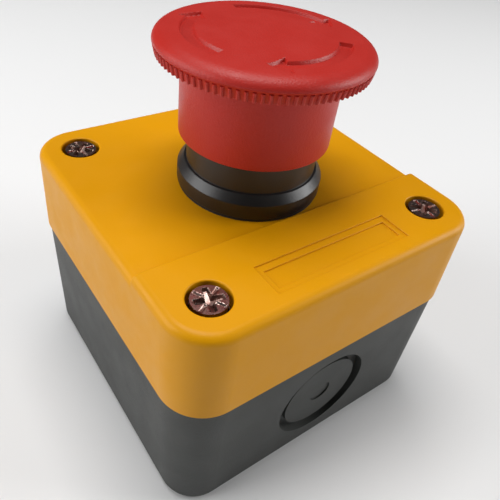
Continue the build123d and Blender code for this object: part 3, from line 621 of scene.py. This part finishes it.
cap_outline += [
    Vector((0, stem_socket[1])),
    Vector(stem_socket),
    Vector((stem_socket[0], boss[1])),
    Vector(boss),
    Vector((boss[0], cap_ceiling)),
    Vector((skirt_bore, cap_ceiling)),
]
cap = turned("mushroom_head", cap_outline, 576, engrave)


def make_rib_tree():
    """Geometry Nodes: grip ribs around the rim, each leaning with the rim's side, joined to the cap."""
    tree = bpy.data.node_groups.new("grip_ribs", "GeometryNodeTree")
    add_socket(tree, "Geometry", "Geometry", "OUTPUT")
    add_socket(tree, "Geometry", "Geometry", "INPUT")
    add_socket(tree, "Count", "Int", "INPUT", 96)
    add_socket(tree, "Radius", "Float", "INPUT", 0.0193)
    add_socket(tree, "Height", "Float", "INPUT", 0.077)
    add_socket(tree, "Rib length", "Float", "INPUT", 0.0022)
    add_socket(tree, "Rib width", "Float", "INPUT", 0.0006)
    add_socket(tree, "Lean", "Float", "INPUT", 0.2)
    add_socket(tree, "Material", "Material", "INPUT")
    outside = node(tree, "NodeGroupInput")
    result = node(tree, "NodeGroupOutput")
    circle = node(tree, "GeometryNodeCurvePrimitiveCircle")
    join(tree, (outside, "Count"), (circle, "Resolution"))
    join(tree, (outside, "Radius"), (circle, "Radius"))
    half = node(tree, "ShaderNodeMath", operation="MULTIPLY")
    half.inputs[1].default_value = 0.5
    join(tree, (outside, "Rib width"), (half, 0))
    section = node(tree, "GeometryNodeCurvePrimitiveCircle")
    section.inputs["Resolution"].default_value = 8
    join(tree, (half, "Value"), (section, "Radius"))
    line = node(tree, "GeometryNodeCurvePrimitiveLine", mode="DIRECTION")
    line.inputs["Direction"].default_value = (0, 0, 1)
    join(tree, (outside, "Rib length"), (line, "Length"))
    bar = node(tree, "GeometryNodeCurveToMesh")
    bar.inputs["Fill Caps"].default_value = True
    join(tree, (line, "Curve"), (bar, "Curve"))
    join(tree, (section, "Curve"), (bar, "Profile Curve"))
    drop = node(tree, "ShaderNodeMath", operation="MULTIPLY")
    drop.inputs[1].default_value = -0.5
    join(tree, (outside, "Rib length"), (drop, 0))
    down = node(tree, "ShaderNodeCombineXYZ")
    join(tree, (drop, "Value"), (down, "Z"))
    tilt = node(tree, "ShaderNodeCombineXYZ")
    join(tree, (outside, "Lean"), (tilt, "Y"))
    centred = node(tree, "GeometryNodeTransform")
    join(tree, (bar, "Mesh"), (centred, "Geometry"))
    join(tree, (down, "Vector"), (centred, "Translation"))
    leaned = node(tree, "GeometryNodeTransform")
    join(tree, (centred, "Geometry"), (leaned, "Geometry"))
    join(tree, (tilt, "Vector"), (leaned, "Rotation"))
    tangent = node(tree, "GeometryNodeInputTangent")
    facing = node(tree, "FunctionNodeAlignRotationToVector", axis="Y")
    join(tree, (tangent, "Tangent"), (facing, "Vector"))
    ribs = node(tree, "GeometryNodeInstanceOnPoints")
    join(tree, (circle, "Curve"), (ribs, "Points"))
    join(tree, (leaned, "Geometry"), (ribs, "Instance"))
    join(tree, (facing, "Rotation"), (ribs, "Rotation"))
    lift = node(tree, "ShaderNodeCombineXYZ")
    join(tree, (outside, "Height"), (lift, "Z"))
    placed = node(tree, "GeometryNodeTransform")
    join(tree, (ribs, "Instances"), (placed, "Geometry"))
    join(tree, (lift, "Vector"), (placed, "Translation"))
    both = node(tree, "GeometryNodeJoinGeometry")
    join(tree, (placed, "Geometry"), (both, "Geometry"))
    join(tree, (outside, "Geometry"), (both, "Geometry"))
    real = node(tree, "GeometryNodeRealizeInstances")
    join(tree, (both, "Geometry"), (real, "Geometry"))
    finish = node(tree, "GeometryNodeSetMaterial")
    join(tree, (real, "Geometry"), (finish, "Geometry"))
    join(tree, (outside, "Material"), (finish, "Material"))
    join(tree, (finish, "Geometry"), (result, "Geometry"))
    return tree


rib_lean = math.atan((rim_side[1] - rim_side[0]) / (rim_high - rim_low))
grow(cap, make_rib_tree(), count=96, radius=19.22 * MM, height=(rim_low + rim_high) / 2 * MM,
     rib_length=1.75 * MM, rib_width=0.74 * MM, lean=rib_lean, material=red_plastic)
keep(cap, "head", "red_plastic", "mushroom_cap")

# COVER SCREWS
# Four plated pan-head screws hold the cover to the base, each over a rubber ring.
# Their cross recess has four shallow marks between its wings.
dress("screw_seals", rubber)
# The brown is partly the plating's own tint and partly painted reflection; the dark red blotches are a
# painted reflection.
screw_plating = metal("screw_plating", (0.36, 0.27, 0.24), (0.14, 0.035, 0.022), amount=0.95,
                      rough=(0.24, 0.40))
screw_low, screw_high = (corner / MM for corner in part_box("cover_screws"))
head_radius = 3.5
rim_rounding = 0.3
shank_radius = 2.0
thread_depth = 0.25
front_rise = 1.13
screw_x = screw_high.x - head_radius
screw_y = screw_high.y - head_radius
head_top = screw_high.z - front_rise
head_under = head_top - 2.3
wing_half_width = 0.5
wing_reach = 2.5
wing_depth = 1.2
tick_half_width = 0.22
tick_span = (1.3, 2.9)
tick_depth = 0.3
cut_slope = 0.12


def cut_share(inside):
    """Share of a recess's full depth at a distance inside its outline, with a short sloping wall."""
    return min(1.0, max(0.0, 0.5 + inside / cut_slope / 2))


def drive_recess(spot):
    """Sink the cross recess and the four marks between its wings into the head."""
    r = math.hypot(spot.x, spot.y)
    if spot.z < head_top - 0.1 or r > tick_span[1] + 0.3:
        return spot
    across, along = sorted((abs(spot.x), abs(spot.y)))
    wing = min(wing_half_width * (1.15 - 0.3 * along / wing_reach) - across, wing_reach - along)
    off_diagonal = abs(abs(spot.x) - abs(spot.y)) / math.sqrt(2)
    tick = min(tick_half_width - off_diagonal, r - tick_span[0], tick_span[1] - r)
    fall = 1.0 - 0.5 * along / wing_reach
    spot.z -= max(wing_depth * fall * cut_share(wing), tick_depth * cut_share(tick))
    return spot


screw_outline = rounded_outline([
    (0.9, screw_low.z, 0.0),
    (shank_radius - thread_depth, screw_low.z + 1.6, 0.0),
    (shank_radius - thread_depth, head_under, 0.0),
    (head_radius, head_under, 0.15),
    (head_radius, head_top, rim_rounding),
], 6)
recess_rings = 48
recess_edge = head_radius - rim_rounding
for step in range(1, recess_rings + 1):
    screw_outline.append(Vector((recess_edge * (1 - step / recess_rings), head_top)))
screw_outline.append(Vector((0, screw_low.z)))
screw = turned("cover_screw_set", screw_outline, 144, drive_recess)
grow(screw, thread_ridge, radius=(shank_radius - thread_depth) * MM, ridge=thread_depth * MM, pitch=1.2 * MM,
     bottom=(screw_low.z + 1.8) * MM, top=(head_under - 12) * MM, material=screw_plating)


def make_screw_tree():
    """Geometry Nodes: a screw at each of the four corners, the front pair higher, each turned at random."""
    tree = bpy.data.node_groups.new("screw_set", "GeometryNodeTree")
    add_socket(tree, "Geometry", "Geometry", "OUTPUT")
    add_socket(tree, "Geometry", "Geometry", "INPUT")
    add_socket(tree, "Spacing X", "Float", "INPUT", 0.0511)
    add_socket(tree, "Spacing Y", "Float", "INPUT", 0.05114)
    add_socket(tree, "Front rise", "Float", "INPUT", 0.001)
    add_socket(tree, "Seed", "Int", "INPUT", 3)
    add_socket(tree, "Material", "Material", "INPUT")
    outside = node(tree, "NodeGroupInput")
    result = node(tree, "NodeGroupOutput")
    corners = node(tree, "GeometryNodeMeshGrid")
    corners.inputs["Vertices X"].default_value = 2
    corners.inputs["Vertices Y"].default_value = 2
    join(tree, (outside, "Spacing X"), (corners, "Size X"))
    join(tree, (outside, "Spacing Y"), (corners, "Size Y"))
    place = node(tree, "GeometryNodeInputPosition")
    parts = node(tree, "ShaderNodeSeparateXYZ")
    join(tree, (place, "Position"), (parts, "Vector"))
    in_front = node(tree, "ShaderNodeMath", operation="LESS_THAN")
    in_front.inputs[1].default_value = 0.0
    join(tree, (parts, "Y"), (in_front, 0))
    rise = node(tree, "ShaderNodeMath", operation="MULTIPLY")
    join(tree, (in_front, "Value"), (rise, 0))
    join(tree, (outside, "Front rise"), (rise, 1))
    lift = node(tree, "ShaderNodeCombineXYZ")
    join(tree, (rise, "Value"), (lift, "Z"))
    raised = node(tree, "GeometryNodeSetPosition")
    join(tree, (corners, "Mesh"), (raised, "Geometry"))
    join(tree, (lift, "Vector"), (raised, "Offset"))
    turn = node(tree, "FunctionNodeRandomValue", data_type="FLOAT")
    turn.inputs[3].default_value = math.tau
    join(tree, (outside, "Seed"), (turn, "Seed"))
    heading = node(tree, "ShaderNodeCombineXYZ")
    tree.links.new(turn.outputs[1], heading.inputs["Z"])
    screws = node(tree, "GeometryNodeInstanceOnPoints")
    join(tree, (raised, "Geometry"), (screws, "Points"))
    join(tree, (outside, "Geometry"), (screws, "Instance"))
    join(tree, (heading, "Vector"), (screws, "Rotation"))
    real = node(tree, "GeometryNodeRealizeInstances")
    join(tree, (screws, "Instances"), (real, "Geometry"))
    finish = node(tree, "GeometryNodeSetMaterial")
    join(tree, (real, "Geometry"), (finish, "Geometry"))
    join(tree, (outside, "Material"), (finish, "Material"))
    join(tree, (finish, "Geometry"), (result, "Geometry"))
    return tree


grow(screw, make_screw_tree(), spacing_x=2 * screw_x * MM, spacing_y=2 * screw_y * MM,
     front_rise=front_rise * MM, seed=4, material=screw_plating)
keep(screw, "enclosure", "plated_steel", "cover_screws")

# STUDIO
# A pale floor, two broad side lights, a soft light from above and a camera above the front left edge.
floor_material = bpy.data.materials.new("studio_floor")
floor_material.use_nodes = True
floor_shader = floor_material.node_tree.nodes["Principled BSDF"]
floor_shader.inputs["Base Color"].default_value = (0.80, 0.80, 0.80, 1)
floor_shader.inputs["Roughness"].default_value = 0.9
floor_mesh = bpy.data.meshes.new("studio_floor")
floor_half = 3.0
floor_corners = ((-1, -1), (1, -1), (1, 1), (-1, 1))
floor_mesh.from_pydata([(x * floor_half, y * floor_half, 0) for x, y in floor_corners], [], [(0, 1, 2, 3)])
floor = bpy.data.objects.new("studio_floor", floor_mesh)
floor_mesh.materials.append(floor_material)
bpy.context.scene.collection.objects.link(floor)


def softbox(name, azimuth, elevation, distance, size, power, target=(0, 0, 0.045)):
    """Square soft light that looks at the object from a bearing and a height, in degrees."""
    a, e = math.radians(azimuth), math.radians(elevation)
    away = Vector((math.sin(a) * math.cos(e), -math.cos(a) * math.cos(e), math.sin(e)))
    light = bpy.data.lights.new(name, "AREA")
    light.shape = "RECTANGLE"
    light.size, light.size_y = size
    light.energy = power
    lamp = bpy.data.objects.new(name, light)
    lamp.location = Vector(target) + away * distance
    lamp.rotation_mode = "QUATERNION"
    lamp.rotation_quaternion = away.to_track_quat("Z", "Y")
    bpy.context.scene.collection.objects.link(lamp)


softbox("left_light", -116, 25, 0.6, (0.4, 0.4), 2.4)
softbox("right_light", 60, 20, 0.7, (0.35, 0.35), 2.9)
softbox("top_light", 178, 80, 0.7, (0.4, 0.4), 3.7)
world = bpy.data.worlds.new("studio")
world.use_nodes = True
world.node_tree.nodes["Background"].inputs["Color"].default_value = (1, 1, 1, 1)
world.node_tree.nodes["Background"].inputs["Strength"].default_value = 0.06
bpy.context.scene.world = world
bpy.context.scene.view_settings.view_transform = "Standard"

camera_azimuth = math.radians(-39.41)
camera_elevation = math.radians(37.71)
camera_roll = math.radians(7.48)
camera_distance = 110.82 * MM
camera_target = Vector((-5.0, -5.69, 45.0)) * MM
back = Vector((math.sin(camera_azimuth) * math.cos(camera_elevation),
               -math.cos(camera_azimuth) * math.cos(camera_elevation), math.sin(camera_elevation)))
level_right = Vector((math.cos(camera_azimuth), math.sin(camera_azimuth), 0))
level_up = back.cross(level_right)
camera_right = level_right * math.cos(camera_roll) + level_up * math.sin(camera_roll)
camera_up = level_up * math.cos(camera_roll) - level_right * math.sin(camera_roll)
camera_data = bpy.data.cameras.new("camera")
camera_data.sensor_width = 36.0
camera_data.lens = 39.6
camera_data.shift_x = 0.0178
camera_data.shift_y = -0.0628
camera_data.clip_start = 0.005
camera = bpy.data.objects.new("camera", camera_data)
pose = camera.matrix_world.copy()
for column, direction in enumerate((camera_right, camera_up, back)):
    for row in range(3):
        pose[row][column] = direction[row]
pose.translation = camera_target + back * camera_distance
camera.matrix_world = pose
bpy.context.scene.collection.objects.link(camera)
bpy.context.scene.camera = camera
